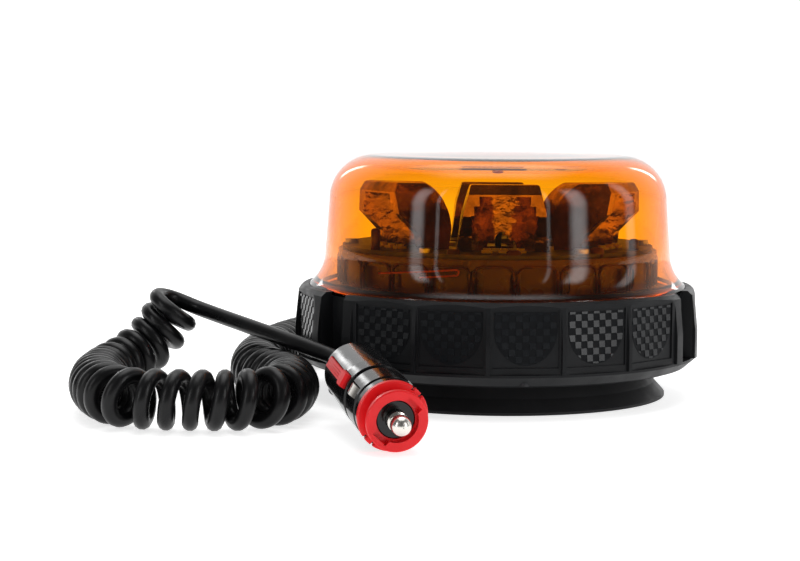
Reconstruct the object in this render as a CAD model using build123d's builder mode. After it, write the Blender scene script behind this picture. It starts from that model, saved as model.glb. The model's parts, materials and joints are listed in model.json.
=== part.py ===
"""Low-profile amber LED warning beacon on a magnetic foot, with a curly supply cord
and a universal lighter-socket plug.  Millimetres, +Z up, the front of the beacon faces -Y.
The origin is on the beacon's axis, on the surface that its magnetic foot stands on."""
from build123d import *
import os
from math import cos, pi, radians, sin, tan

os.makedirs("parts", exist_ok=True)

# ---------------------------------------------------------------- driving dimensions
ring_radius = 70.0            # outside of the grip ring's ribs
ring_top = 37.4
flange_top = 14.5             # where the grip ring stands on the base flange
flange_bottom = 10.7
total_height = 83.0           # crown of the dome above the surface
foot_radius = 58.4
group_angle = 8.0             # middle of the first panel group, from the front towards +X
group_count = 3
panels_per_group = 5
panel_pitch = 20.2            # degrees
gap_half_angle = 5.5
rib_width = 1.3
end_rib_width = 4.2

wall = 2.5                    # moulded walls of the base
base_radius = 63.0
base_floor = 9.9
dome_wall = 2.2
dome_seat = 36.2
dome_foot_radius = 65.0
dome_shoulder_radius = 42.8   # where the flat top ends and the corner starts
dome_corner_radius = 15.5
dome_corner_centre = 66.7

deck_top = 50.0
deck_radius = 55.0
board_thickness = 1.4
module_count = 6
module_angle = 3.0            # first reflector, from the front towards +X
hood_foot, hood_waist, hood_crown = 15.2, 13.4, 11.0   # half widths, from the board up
module_top = 73.8

cord_radius = 2.6
coil_radius = 9.6             # outside of the curly cord's turns
gland_angle = 188.0
gland_height = 22.0

plug_nose = (-27.9, -134.9, 9.95)   # middle of the red adapter's front face
plug_turn = 15.9              # plug axis in plan, from +Y towards -X
plug_rise = 6.1               # plug axis above level
plug_roll = 28.0              # latches and side contacts above level
barrel_length = 61.0

written = []


def write(node, name):
    """Label a finished sub-part and write its STEP file."""
    node.part.label = name
    export_step(node.part, f"parts/{name}.step")
    written.append(name)


def around(radius, angle, height=0.0):
    """A point at an angle from the front (-Y), positive towards +X."""
    return Vector(radius * sin(radians(angle)), -radius * cos(radians(angle)), height)


def outward(radius, angle, height=0.0):
    """A plane facing away from the beacon's axis; its x runs round, its y runs up."""
    normal = around(1, angle)
    return Plane(origin=around(radius, angle, height), x_dir=(cos(radians(angle)), sin(radians(angle)), 0),
                 z_dir=normal)


def side(angle):
    """A vertical plane through the axis; its x is the radius and its y the height."""
    across = (-cos(radians(angle)), -sin(radians(angle)), 0)
    return Plane(origin=(0, 0, 0), x_dir=around(1, angle), z_dir=across)


# ---------------------------------------------------------------- magnetic foot
with BuildPart() as foot_boot:
    with BuildSketch(Plane.XZ):
        with BuildLine():
            Polyline((0, 0), (foot_radius, 0), (foot_radius, 0.9), (foot_radius - 3.6, 4.9))
            Line((foot_radius - 3.6, 4.9), (52, base_floor))
            Polyline((52, base_floor), (46, base_floor), (46, 8.7), (50, 8.7), (50, 1.2), (0, 1.2), (0, 0))
        make_face()
    revolve(axis=Axis.Z)
write(foot_boot, "foot_boot")

with BuildPart() as magnet_cup:
    with BuildSketch(Plane.XZ):
        with BuildLine():
            Polyline((3.2, 7), (47.6, 7), (47.6, 1.3), (49.8, 1.3), (49.8, 8.6), (3.2, 8.6), (3.2, 7))
        make_face()
    revolve(axis=Axis.Z)
    fillet(magnet_cup.edges().group_by(Axis.Z)[-1].sort_by(SortBy.LENGTH)[-1], 1.2)
write(magnet_cup, "magnet_cup")

with BuildPart() as ferrite_magnet:
    with BuildSketch(Plane.XY.offset(1.4)):
        Circle(45)
        Circle(14, mode=Mode.SUBTRACT)
    extrude(amount=5.5)
    chamfer(ferrite_magnet.edges(), 0.4)
write(ferrite_magnet, "ferrite_magnet")

with BuildPart() as magnet_bolt:
    with BuildSketch(Plane.XY.offset(3.2)):
        RegularPolygon(5.8, 6)
    extrude(amount=3.8)
    with BuildSketch(Plane.XY.offset(7)):
        Circle(3)
    extrude(amount=11)
    chamfer(magnet_bolt.edges().group_by(Axis.Z)[-1], 0.5)
write(magnet_bolt, "magnet_bolt")

with BuildPart() as magnet_nut:
    with BuildSketch(Plane.XY.offset(base_floor + wall)):
        RegularPolygon(5.8, 6)
        Circle(3.05, mode=Mode.SUBTRACT)
    extrude(amount=4.6)
write(magnet_nut, "magnet_nut")

# ---------------------------------------------------------------- base housing
post_circle = 17.0            # tall posts that carry the deck
post_angles = [30, 150, 270]
pillar_circle = 38.0          # short pillars under the driver board
pillar_angles = [0, 120, 240]
driver_board_height = 20.0
ring_screw_circle = 65.2

with BuildPart() as base_housing:
    with BuildSketch(Plane.XY.offset(base_floor)):
        Circle(base_radius)
    extrude(amount=dome_seat - 0.3 - base_floor)
    with BuildSketch(Plane.XY.offset(base_floor + wall)):
        Circle(base_radius - wall)
    extrude(amount=40, mode=Mode.SUBTRACT)
    # ledge that carries the deck drum
    with BuildSketch(Plane.XY.offset(34)):
        Circle(base_radius - wall)
        Circle(50, mode=Mode.SUBTRACT)
    extrude(amount=1.9)
    # visible lower flange, sloping in towards the foot
    with BuildSketch(Plane.XZ):
        with BuildLine():
            Polyline((base_radius - 0.5, flange_bottom), (65.6, flange_bottom), (69, flange_top - 0.8),
                     (69, flange_top), (base_radius - 0.5, flange_top), (base_radius - 0.5, flange_bottom))
        make_face()
    revolve(axis=Axis.Z)
    # boss that stands on the magnet cup
    with BuildSketch(Plane.XY.offset(8.6)):
        Circle(44)
    extrude(amount=base_floor - 8.6)
    with BuildSketch(Plane.XY.offset(base_floor + wall)):
        for angle in post_angles:
            with Locations(around(post_circle, angle)):
                Circle(3.6)
    extrude(amount=deck_top - 2.5 - base_floor - wall)
    with BuildSketch(Plane.XY.offset(base_floor + wall)):
        for angle in pillar_angles:
            with Locations(around(pillar_circle, angle)):
                Circle(3.2)
    extrude(amount=driver_board_height - base_floor - wall)
    # screw pilots, bolt hole, seal groove and cable hole
    with Locations([around(post_circle, angle, deck_top - 2.5) for angle in post_angles]):
        Hole(1.3, depth=16)
    with Locations([around(pillar_circle, angle, driver_board_height) for angle in pillar_angles]):
        Hole(1.1, depth=6)
    with Locations((0, 0, base_floor + wall)):
        Hole(3.2, depth=6)
    with BuildSketch(Plane.XY.offset(dome_seat - 1.3)):
        Circle(62.4)
        Circle(61.2, mode=Mode.SUBTRACT)
    extrude(amount=2, mode=Mode.SUBTRACT)
    with BuildSketch(outward(57, gland_angle, gland_height)):
        Circle(4)
    extrude(amount=14, mode=Mode.SUBTRACT)
    with BuildSketch(Plane.XY.offset(flange_bottom)):
        for k in range(group_count):
            with Locations(around(ring_screw_circle, group_angle + 360 / group_count * k)):
                Circle(1.7)
    extrude(amount=6, mode=Mode.SUBTRACT)
write(base_housing, "base_housing")

# ---------------------------------------------------------------- grip ring
panel_corner = 69.0           # radius at the corners between flat panels
panel_flat = panel_corner * cos(radians(panel_pitch / 2))
group_half = panels_per_group * panel_pitch / 2
rib_height = ring_top - flange_top - 1.2
gap_floor = 64.8              # bottom of the recesses between the groups


def ring_outline():
    """Corner points of the ring seen from above: flat panels, end ribs and recessed gaps."""
    points = []
    for k in range(group_count):
        middle = group_angle + 360 / group_count * k
        gap_edge = 180 / group_count - gap_half_angle
        points.append(around(gap_floor, middle - gap_edge - 0.6))
        points.append(around(panel_corner, middle - gap_edge))
        for i in range(panels_per_group + 1):
            points.append(around(panel_corner, middle - group_half + panel_pitch * i))
        points.append(around(panel_corner, middle + gap_edge))
        points.append(around(gap_floor, middle + gap_edge + 0.6))
    return points


with BuildPart() as grip_ring:
    with BuildSketch(Plane.XY.offset(flange_top)):
        Polygon(*ring_outline(), align=None)
    extrude(amount=ring_top - flange_top)
    for k in range(group_count):
        middle = group_angle + 360 / group_count * k
        # thin ribs between the panels, broad ribs at both ends of a group
        for i in range(1, panels_per_group):
            with BuildSketch(outward(66, middle - group_half + panel_pitch * i, flange_top)):
                with Locations((0, rib_height / 2)):
                    Rectangle(rib_width, rib_height)
            extrude(amount=ring_radius - 66)
        for end in (-1, 1):
            with BuildSketch(outward(64, middle + end * (group_half + 2), flange_top)):
                with Locations((0, rib_height / 2)):
                    Rectangle(end_rib_width, rib_height)
            extrude(amount=ring_radius - 64)
        # shallow panel fields
        for i in range(panels_per_group):
            angle = middle - group_half + panel_pitch * (i + 0.5)
            with BuildSketch(outward(panel_flat - 0.5, angle, (flange_top + ring_top) / 2)):
                Rectangle(21.4, ring_top - flange_top - 4.4)
            extrude(amount=3, mode=Mode.SUBTRACT)
    # outer envelope: slightly drawn in towards the top, with a bevelled rim
    with BuildSketch(Plane.XZ):
        with BuildLine():
            Polyline((0, flange_top), (ring_radius, flange_top), (ring_radius, 24), (68.8, ring_top - 1.5),
                     (67.2, ring_top), (0, ring_top), (0, flange_top))
        make_face()
    revolve(axis=Axis.Z, mode=Mode.INTERSECT)
    # bore round the base, with the step that holds the dome's foot
    with BuildSketch(Plane.XY.offset(flange_top)):
        Circle(base_radius + 0.15)
    extrude(amount=30, mode=Mode.SUBTRACT)
    with BuildSketch(Plane.XY.offset(dome_seat - 0.1)):
        Circle(dome_foot_radius + 0.15)
    extrude(amount=3, mode=Mode.SUBTRACT)
    with BuildSketch(outward(60, gland_angle, gland_height)):
        Circle(6.2)
    extrude(amount=12, mode=Mode.SUBTRACT)
    with Locations([around(ring_screw_circle, group_angle + 360 / group_count * k, flange_top)
                    for k in range(group_count)]):
        Cylinder(1.2, 24, mode=Mode.SUBTRACT)
write(grip_ring, "grip_ring")

with BuildPart() as ring_screws:
    for k in range(group_count):
        spot = around(ring_screw_circle, group_angle + 360 / group_count * k)
        with BuildSketch(Plane.XY.offset(flange_bottom)):
            with Locations(spot):
                Circle(1.65)
                SlotOverall(2.4, 0.6, mode=Mode.SUBTRACT)
        extrude(amount=1.6)
        with BuildSketch(Plane.XY.offset(flange_bottom + 1.6)):
            with Locations(spot):
                Circle(1.15)
        extrude(amount=12)
write(ring_screws, "ring_screws")

# ---------------------------------------------------------------- dome and seal
skirt_centre = (74.2, 49.0)   # centre of the skirt's hollow curve
skirt_radius = 14.5


def skirt_point(radius, height):
    """Where a circle about the skirt's centre reaches a height."""
    return (skirt_centre[0] - (radius ** 2 - (skirt_centre[1] - height) ** 2) ** 0.5, height)


def corner_point(radius, angle):
    """A point on the dome's top corner, an arc about one centre."""
    turn = radians(angle)
    return (dome_shoulder_radius + radius * cos(turn), dome_corner_centre + radius * sin(turn))


with BuildPart() as dome:
    with BuildSketch(Plane.XZ):
        with BuildLine():
            outer = dome_corner_radius
            inner = dome_corner_radius - dome_wall
            skirt_in = skirt_radius + dome_wall
            Polyline((61.2, dome_seat), (dome_foot_radius, dome_seat), (dome_foot_radius, 37.7),
                     skirt_point(skirt_radius, 38.2))
            ThreePointArc(skirt_point(skirt_radius, 38.2), skirt_point(skirt_radius, 42.5),
                          (skirt_centre[0] - skirt_radius, skirt_centre[1]))
            Line((skirt_centre[0] - skirt_radius, skirt_centre[1]), corner_point(outer, 0))
            ThreePointArc(corner_point(outer, 0), corner_point(outer, 45), corner_point(outer, 90))
            Spline(corner_point(outer, 90), (0, total_height), tangents=[(-1, 0), (-1, 0)])
            Line((0, total_height), (0, total_height - dome_wall))
            Spline((0, total_height - dome_wall), corner_point(inner, 90), tangents=[(1, 0), (1, 0)])
            ThreePointArc(corner_point(inner, 90), corner_point(inner, 45), corner_point(inner, 0))
            Line(corner_point(inner, 0), (skirt_centre[0] - skirt_in, skirt_centre[1]))
            ThreePointArc((skirt_centre[0] - skirt_in, skirt_centre[1]), skirt_point(skirt_in, 43.5),
                          skirt_point(skirt_in, 38.4))
            Line(skirt_point(skirt_in, 38.4), (61.2, dome_seat))
        make_face()
    revolve(axis=Axis.Z)
    # gate marks in the middle of the crown
    with Locations((0, 0, total_height - dome_wall / 2)):
        Cylinder(1.4, dome_wall + 1)
write(dome, "dome")

with BuildPart() as dome_seal:
    with BuildSketch(Plane.XY.offset(dome_seat - 1.3)):
        Circle(62.35)
        Circle(61.25, mode=Mode.SUBTRACT)
    extrude(amount=1.3)
write(dome_seal, "dome_seal")

# ---------------------------------------------------------------- deck that carries the light engine
drum_outer = 54.5
drum_bottom = 35.9
pocket_count = 12

with BuildPart() as deck_drum:
    with BuildSketch(Plane.XY.offset(drum_bottom)):
        Circle(drum_outer)
        Circle(drum_outer - 4, mode=Mode.SUBTRACT)
    extrude(amount=deck_top - drum_bottom - 2.5)
    with BuildSketch(Plane.XY.offset(deck_top - 2.5)):
        Circle(deck_radius)
    extrude(amount=2.5)
    # rounded pockets round the drum, with upright ribs left between them
    for k in range(pocket_count):
        pocket_height = (drum_bottom + deck_top) / 2 - 1
        with BuildSketch(outward(drum_outer - 2, 360 / pocket_count * (k + 0.5), pocket_height)):
            RectangleRounded(20, 8.4, 2.2)
        extrude(amount=6, mode=Mode.SUBTRACT)
    with Locations([around(post_circle, angle, deck_top) for angle in post_angles]):
        Hole(1.7)
    with Locations((0, 0, deck_top)):
        Hole(6)
write(deck_drum, "deck_drum")

with BuildPart() as deck_screws:
    for angle in post_angles:
        spot = around(post_circle, angle)
        with BuildSketch(Plane.XY.offset(deck_top)):
            with Locations(spot):
                Circle(2.8)
                SlotOverall(4, 0.8, mode=Mode.SUBTRACT)
        extrude(amount=1.8)
        with BuildSketch(Plane.XY.offset(deck_top)):
            with Locations(spot):
                Circle(1.25)
        extrude(amount=-12)
        with BuildSketch(Plane.XY.offset(deck_top)):
            with Locations(spot):
                Circle(2.8)
        extrude(amount=0.6)
write(deck_screws, "deck_screws")

module_angles = [module_angle + 360 / module_count * k for k in range(module_count)]
board_top = deck_top + board_thickness

with BuildPart() as led_board:
    with BuildSketch(Plane.XY.offset(deck_top)):
        Circle(53.6)
        Circle(22, mode=Mode.SUBTRACT)
    extrude(amount=board_thickness)
    with Locations([around(50.5, angle + 30, board_top) for angle in module_angles]):
        Hole(1.5)
write(led_board, "led_board")

with BuildPart() as led_board_screws:
    for angle in module_angles:
        spot = around(50.5, angle + 30)
        with BuildSketch(Plane.XY.offset(board_top)):
            with Locations(spot):
                Circle(2.3)
        extrude(amount=1.5)
        with BuildSketch(Plane.XY.offset(board_top)):
            with Locations(spot):
                Circle(1.4)
        extrude(amount=-board_thickness)
write(led_board_screws, "led_board_screws")

with BuildPart() as led_packages:
    for angle in module_angles:
        for slide in (-5.5, 0, 5.5):
            place = outward(42, angle, board_top)
            with BuildSketch(Plane(origin=place.from_local_coords((slide, 0, 0)), x_dir=place.x_dir,
                                   z_dir=(0, 0, 1))):
                Rectangle(3.4, 3.4)
            extrude(amount=0.8)
            with BuildSketch(Plane(origin=place.from_local_coords((slide, 0.8, 0)), x_dir=place.x_dir,
                                   z_dir=(0, 0, 1))):
                Circle(1.3)
            extrude(amount=0.7)
write(led_packages, "led_packages")

# Each reflector is a hood that overhangs its diodes and throws their light outwards.
# Its hollow is stepped: the steps get shallower and narrower towards the top.
hollow_steps = 6
hollow_height = 18.6


def hollow_depth(share):
    """Depth of the hollow from the mouth, for a height share from 0 at the board to 1."""
    return 8 + 19 * (1 - share ** 1.6)


def hollow_half_width(share):
    return 5.5 + 6.8 * (1 - share ** 2.2) ** 0.5


for number, angle in enumerate(module_angles, 1):
    with BuildPart() as reflector:
        with BuildSketch(side(angle)):
            with BuildLine():
                Polyline((29, board_top), (38.5, board_top), (39.5, 56.5), (47, 63.5), (47.6, 70.6),
                         (46, module_top), (36, module_top))
                ThreePointArc((36, module_top), (30, 68), (27.4, 58))
                Line((27.4, 58), (29, board_top))
            make_face()
        extrude(amount=hood_foot, both=True)
        with BuildSketch(outward(20, angle, board_top)):
            with BuildLine():
                Polyline((-hood_foot, 0), (hood_foot, 0), (hood_waist, 13), (hood_crown, 22.4),
                         (-hood_crown, 22.4), (-hood_waist, 13), (-hood_foot, 0))
            make_face()
        extrude(amount=35, mode=Mode.INTERSECT)
        for step in range(hollow_steps):
            share = step / hollow_steps
            with BuildSketch(Plane(origin=around(53.5, angle, board_top + hollow_height * share),
                                   x_dir=around(1, angle), z_dir=(0, 0, 1))):
                Ellipse(hollow_depth(share), hollow_half_width(share))
            extrude(amount=hollow_height / hollow_steps, mode=Mode.SUBTRACT)
        fillet(reflector.edges().group_by(Axis.Z)[-1].filter_by(GeomType.LINE), 1.0)
    write(reflector, f"reflector_{number}")

# ---------------------------------------------------------------- driver electronics
driver_top = driver_board_height + 1.6

with BuildPart() as driver_board:
    with BuildSketch(Plane.XY.offset(driver_board_height)):
        Circle(47)
        with Locations([around(post_circle, angle) for angle in post_angles]):
            Circle(4.2, mode=Mode.SUBTRACT)
        with Locations([around(pillar_circle, angle) for angle in pillar_angles]):
            Circle(1.4, mode=Mode.SUBTRACT)
    extrude(amount=1.6)
write(driver_board, "driver_board")

with BuildPart() as driver_board_screws:
    for angle in pillar_angles:
        with BuildSketch(Plane.XY.offset(driver_top)):
            with Locations(around(pillar_circle, angle)):
                Circle(2.3)
        extrude(amount=1.5)
        with BuildSketch(Plane.XY.offset(driver_top)):
            with Locations(around(pillar_circle, angle)):
                Circle(1.05)
        extrude(amount=-7)
write(driver_board_screws, "driver_board_screws")

with BuildPart() as driver_inductor:
    with BuildSketch(Plane.XY.offset(driver_top)):
        with Locations((24, -14)):
            RectangleRounded(13, 13, 2)
    extrude(amount=2)
    with BuildSketch(Plane.XY.offset(driver_top + 2)):
        with Locations((24, -14)):
            Circle(5.4)
    extrude(amount=5)
    with BuildSketch(Plane.XY.offset(driver_top + 7)):
        with Locations((24, -14)):
            RectangleRounded(12, 12, 2)
    extrude(amount=1.4)
write(driver_inductor, "driver_inductor")

with BuildPart() as driver_capacitors:
    for spot in [(-24, -18), (-13, -26), (-31, -6)]:
        with BuildSketch(Plane.XY.offset(driver_top)):
            with Locations(spot):
                Circle(4)
        extrude(amount=11)
    fillet(driver_capacitors.edges().group_by(Axis.Z)[-1], 0.7)
write(driver_capacitors, "driver_capacitors")

with BuildPart() as driver_transistors:
    for spot in [(26, 9), (34, 3), (23, 18), (14, 26)]:
        with BuildSketch(Plane.XY.offset(driver_top)):
            with Locations(spot):
                Rectangle(6.4, 5.8)
        extrude(amount=2.2)
write(driver_transistors, "driver_transistors")

with BuildPart() as driver_controller:
    with BuildSketch(Plane.XY.offset(driver_top)):
        with Locations((2, -26)):
            Rectangle(9, 9)
    extrude(amount=1.6)
write(driver_controller, "driver_controller")

with BuildPart() as supply_terminal:
    with BuildSketch(Plane.XY.offset(driver_top)):
        with Locations((-14, 32)):
            Rectangle(11, 8)
    extrude(amount=9)
    with BuildSketch(Plane(origin=(-14, 36, driver_top + 4), x_dir=(-1, 0, 0), z_dir=(0, 1, 0))):
        with GridLocations(5, 1, 2, 1):
            Rectangle(3, 3.4)
    extrude(amount=-5, mode=Mode.SUBTRACT)
write(supply_terminal, "supply_terminal")


def tube_along(points, radius):
    """A round tube on straight runs joined by the largest arcs that the runs allow."""
    points = [Vector(*p) for p in points]
    radii = []
    for before, corner, after in zip(points, points[1:], points[2:]):
        turn = (corner - before).get_angle(after - corner)
        shorter = min((corner - before).length, (after - corner).length)
        radii.append(0.45 * shorter / tan(radians(turn / 2)))
    with BuildPart() as tube:
        with BuildLine() as path:
            FilletPolyline(*points, radius=radii)
        spine = path.wires()[0]
        with BuildSketch(Plane(origin=points[0], z_dir=points[1] - points[0])):
            Circle(radius)
        sweep(path=spine)
    return tube, spine.length, radii


gland_out = outward(58, gland_angle, gland_height)
leads = []
for shift in (-2.5, 2.5):
    inner_end = (-14 - shift, 35.8, driver_top + 4)
    route = [inner_end, (-14 - shift, 41, driver_top + 4),
             gland_out.from_local_coords((-shift * 0.36, 0, -8)),
             gland_out.from_local_coords((-shift * 0.36, 0, -0.6))]
    leads.append(tube_along(route, 0.7)[0])
with BuildPart() as supply_leads:
    for lead in leads:
        add(lead.part)
write(supply_leads, "supply_leads")

led_lead = tube_along([(5, 10, driver_top), (5, 10, 34), (1, 1, 43), (0, 0, 55), (5, 12, 62),
                       (11.6, 21.4, 61), (11.6, 21.4, board_top)], 1.1)[0]
write(led_lead, "led_lead")

# ---------------------------------------------------------------- cable gland
with BuildPart() as cable_gland:
    with BuildSketch(outward(57.6, gland_angle, gland_height)):
        Circle(5.4)
    extrude(amount=2.4)
    with BuildSketch(outward(60, gland_angle, gland_height)):
        Circle(3.95)
    extrude(amount=3.2)
    with BuildSketch(outward(63.2, gland_angle, gland_height)):
        Circle(5.4)
    with BuildSketch(outward(75, gland_angle, gland_height)):
        Circle(3.8)
    loft()
    with BuildSketch(outward(75, gland_angle, gland_height)):
        Circle(cord_radius)
    extrude(amount=-13, mode=Mode.SUBTRACT)
    with BuildSketch(outward(62, gland_angle, gland_height)):
        with GridLocations(1.8, 1, 2, 1):
            Circle(0.75)
    extrude(amount=-5, mode=Mode.SUBTRACT)
write(cable_gland, "cable_gland")

# ---------------------------------------------------------------- plug
level = radians(plug_rise)
plan = radians(plug_turn)
plug_back = Vector(-sin(plan) * cos(level), cos(plan) * cos(level), sin(level))
plug_level = Plane(origin=plug_nose, x_dir=(-cos(plan), -sin(plan), 0), z_dir=plug_back)
plug_axis = Axis(plug_nose, plug_back)
notch_turn = 135 - plug_roll                       # bayonet notches, from the latch


def away(turn):
    """A direction away from the plug's axis; turn 0 is the upper latch."""
    angle = radians(plug_roll + turn)
    return plug_level.x_dir * cos(angle) + plug_level.y_dir * sin(angle)


def station(distance):
    """The plug's cross-section plane at a distance behind the adapter's front face."""
    return Plane(origin=plug_nose, x_dir=away(0), z_dir=plug_back).offset(distance)


def plug_side(turn):
    """A plane through the plug's axis: x along the axis to the rear, y away from the axis."""
    return Plane(origin=plug_nose, x_dir=plug_back, z_dir=plug_back.cross(away(turn)))


adapter_front_radius = 9.15
adapter_rear_radius = 10.5
adapter_bore = 5.75
adapter_mouth = 6.3

with BuildPart() as plug_adapter:
    with BuildSketch(plug_side(0)):
        with BuildLine():
            Polyline((0, adapter_mouth), (0, adapter_front_radius - 0.3), (0.3, adapter_front_radius),
                     (1.7, adapter_front_radius), (2, adapter_front_radius - 0.3), (2, 7.6), (5.8, 7.6),
                     (5.8, adapter_rear_radius - 0.3), (6.1, adapter_rear_radius),
                     (7.6, adapter_rear_radius), (7.9, adapter_rear_radius - 0.3), (7.9, adapter_bore),
                     (2.4, adapter_bore), (2.4, adapter_mouth), (0, adapter_mouth))
        make_face()
    revolve(axis=plug_axis)
    for half in (0, 180):
        # bayonet notches in the bore and grip notches in the rear flange
        with BuildSketch(station(-0.5)):
            with PolarLocations(adapter_bore, 1, notch_turn + half):
                Rectangle(3.4, 5.2)
        extrude(amount=3, mode=Mode.SUBTRACT)
        with BuildSketch(station(5)):
            for offset_turn in (-9, 9):
                with PolarLocations(adapter_rear_radius, 1, notch_turn + half + offset_turn):
                    Rectangle(2.4, 1.1)
        extrude(amount=4, mode=Mode.SUBTRACT)
write(plug_adapter, "plug_adapter")

with BuildPart() as plug_nose_sleeve:
    with BuildSketch(plug_side(0)):
        with BuildLine():
            Polyline((2.6, 3.1), (2.6, 5.4), (3, 5.65), (14, 5.65), (14, 3.7), (9, 3.7), (9, 3.1),
                     (2.6, 3.1))
        make_face()
    revolve(axis=plug_axis)
write(plug_nose_sleeve, "plug_nose_sleeve")

pin_ball = 2.95

with BuildPart() as centre_pin:
    with BuildSketch(plug_side(0)):
        with BuildLine():
            ThreePointArc((-7.6, 0), (-7.6 + pin_ball * (1 - cos(radians(50))), pin_ball * sin(radians(50))),
                          (-7.6 + pin_ball, pin_ball))
            Polyline((-7.6 + pin_ball, pin_ball), (-2.9, pin_ball), (-2.5, 2.3), (-0.6, 2.3), (-0.2, 3.0),
                     (9.6, 3.0), (9.6, 3.55), (10.6, 3.55), (10.6, 1.7), (14, 1.7), (14, 0), (-7.6, 0))
        make_face()
    revolve(axis=plug_axis)
write(centre_pin, "centre_pin")

spring_radius = 2.75
with BuildPart() as pin_spring:
    with BuildSketch(station(10.7)):
        Circle(spring_radius + 0.4)
        Circle(spring_radius - 0.4, mode=Mode.SUBTRACT)
    extrude(amount=9.2)
write(pin_spring, "pin_spring")

with BuildPart() as fuse_glass:
    with BuildSketch(station(24.2)):
        Circle(2.4)
    extrude(amount=12)
write(fuse_glass, "fuse_glass")

with BuildPart() as fuse_caps:
    for start in (20, 35.2):
        with BuildSketch(station(start)):
            Circle(2.6)
        extrude(amount=5.2)
    with BuildSketch(station(24.2)):
        Circle(2.4)
    extrude(amount=12, mode=Mode.SUBTRACT)
write(fuse_caps, "fuse_caps")

barrel_radius = 10.3
barrel_bore = 6.2
split = 25.0                  # where the screw-off front of the barrel ends
latch_front = 28.4
latch_rear = 57.2
latch_width = 4.3               # at the bulb; the handle behind it is narrower
latch_handle_width = 3.2
latch_handle = 36.0             # where the handle starts
latch_pivot = (latch_rear - 1.9, 8.3)   # distance from the nose, and from the axis
latch_pin_radius = 0.5
latch_pin_half = 3.8
contact_front = 14.6
contact_rear = 24.0
contact_width = 3.4

with BuildPart() as plug_barrel_front:
    with BuildSketch(plug_side(0)):
        with BuildLine():
            Polyline((8.1, 5.9), (8.1, 9.6), (8.6, 10.1), (11.6, 10.1), (11.8, 9.7), (12.8, 9.7),
                     (13, barrel_radius),
                     (split - 1.4, barrel_radius), (split - 1.2, 9.4), (split, 9.4), (split, barrel_bore),
                     (14.2, barrel_bore), (14.2, 5.9), (8.1, 5.9))
        make_face()
    revolve(axis=plug_axis)
    # guide lug that lines the plug up
    with BuildSketch(station(8.6)):
        with PolarLocations(barrel_radius - 0.7, 1, notch_turn):
            Rectangle(1.8, 3.4)
    extrude(amount=5)
    for half in (0, 180):
        with BuildSketch(station(contact_front - 0.3)):
            with PolarLocations(barrel_radius, 1, half):
                Rectangle(9, contact_width + 0.6)
        extrude(amount=contact_rear - contact_front + 0.6, mode=Mode.SUBTRACT)
write(plug_barrel_front, "plug_barrel_front")

with BuildPart() as plug_barrel_rear:
    with BuildSketch(plug_side(0)):
        with BuildLine():
            Polyline((split, barrel_bore), (split, 9.4), (split + 1.6, 9.4), (split + 1.8, barrel_radius),
                     (34, barrel_radius))
            Line((34, barrel_radius), (barrel_length - 1.6, 9.6))
            RadiusArc((barrel_length - 1.6, 9.6), (barrel_length, 8.1), 1.6)
            Polyline((barrel_length, 8.1), (barrel_length, 3.6), (barrel_length - 3, 3.6),
                     (barrel_length - 3, barrel_bore), (split, barrel_bore))
        make_face()
    revolve(axis=plug_axis)
    for half in (0, 180):
        with BuildSketch(station(latch_front - 0.4)):
            with PolarLocations(barrel_radius, 1, half):
                Rectangle(9, latch_width + 0.6)
        extrude(amount=latch_handle - latch_front + 0.8, mode=Mode.SUBTRACT)
        with BuildSketch(station(latch_front - 0.4)):
            with PolarLocations(barrel_radius, 1, half):
                Rectangle(9, latch_handle_width + 0.6)
        extrude(amount=latch_rear - latch_front + 0.7, mode=Mode.SUBTRACT)
        with BuildSketch(plug_side(half)):
            with Locations(latch_pivot):
                Circle(latch_pin_radius)
        extrude(amount=latch_pin_half, both=True, mode=Mode.SUBTRACT)
write(plug_barrel_rear, "plug_barrel_rear")

for name, half in (("earth_contact_upper", 0), ("earth_contact_lower", 180)):
    with BuildPart() as contact:
        with BuildSketch(plug_side(half)):
            with BuildLine():
                Polyline((contact_front, 8.4), (contact_front, 9.7))
                ThreePointArc((contact_front, 9.7), ((contact_front + contact_rear) / 2, 11.1),
                              (contact_rear, 9.7))
                Polyline((contact_rear, 9.7), (contact_rear, 8.4), (contact_rear - 0.8, 8.4),
                         (contact_rear - 0.8, 9.1))
                ThreePointArc((contact_rear - 0.8, 9.1), ((contact_front + contact_rear) / 2, 10.3),
                              (contact_front + 0.8, 9.1))
                Polyline((contact_front + 0.8, 9.1), (contact_front + 0.8, 8.4), (contact_front, 8.4))
            make_face()
        extrude(amount=contact_width / 2, both=True)
    write(contact, name)

for name, half in (("latch_upper", 0), ("latch_lower", 180)):
    with BuildPart() as latch:
        with BuildSketch(plug_side(half)):
            with BuildLine():
                Polyline((latch_front, 8.1), (latch_front, 10.9), (latch_front + 1.2, 11.6),
                         (latch_front + 4.6, 11.6), (latch_front + 7.0, 10.9), (latch_rear - 2, 10.6),
                         (latch_rear, 9.8), (latch_rear, 7.2),
                         (latch_rear - 3.4, 7.2), (latch_rear - 4, 8.1), (latch_front, 8.1))
            make_face()
        extrude(amount=latch_width / 2, both=True)
        with BuildSketch(plug_side(half)):
            with Locations(latch_pivot):
                Circle(latch_pin_radius + 0.05)
        extrude(amount=latch_width, both=True, mode=Mode.SUBTRACT)
        # the handle is narrower than the bulb, with finger grooves along it
        with BuildSketch(station(latch_handle)):
            for edge in (-1, 1):
                with PolarLocations(9.5, 1, half):
                    with Locations((0, edge * (latch_handle_width + 3) / 2)):
                        Rectangle(9, 3)
        extrude(amount=latch_rear - latch_handle + 1, mode=Mode.SUBTRACT)
        with BuildSketch(station(latch_handle + 1)):
            with PolarLocations(10.95, 1, half):
                with GridLocations(1, 0.8, 1, 3):
                    Rectangle(0.8, 0.3)
        extrude(amount=latch_rear - latch_handle - 3, mode=Mode.SUBTRACT)
    write(latch, name)

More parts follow.
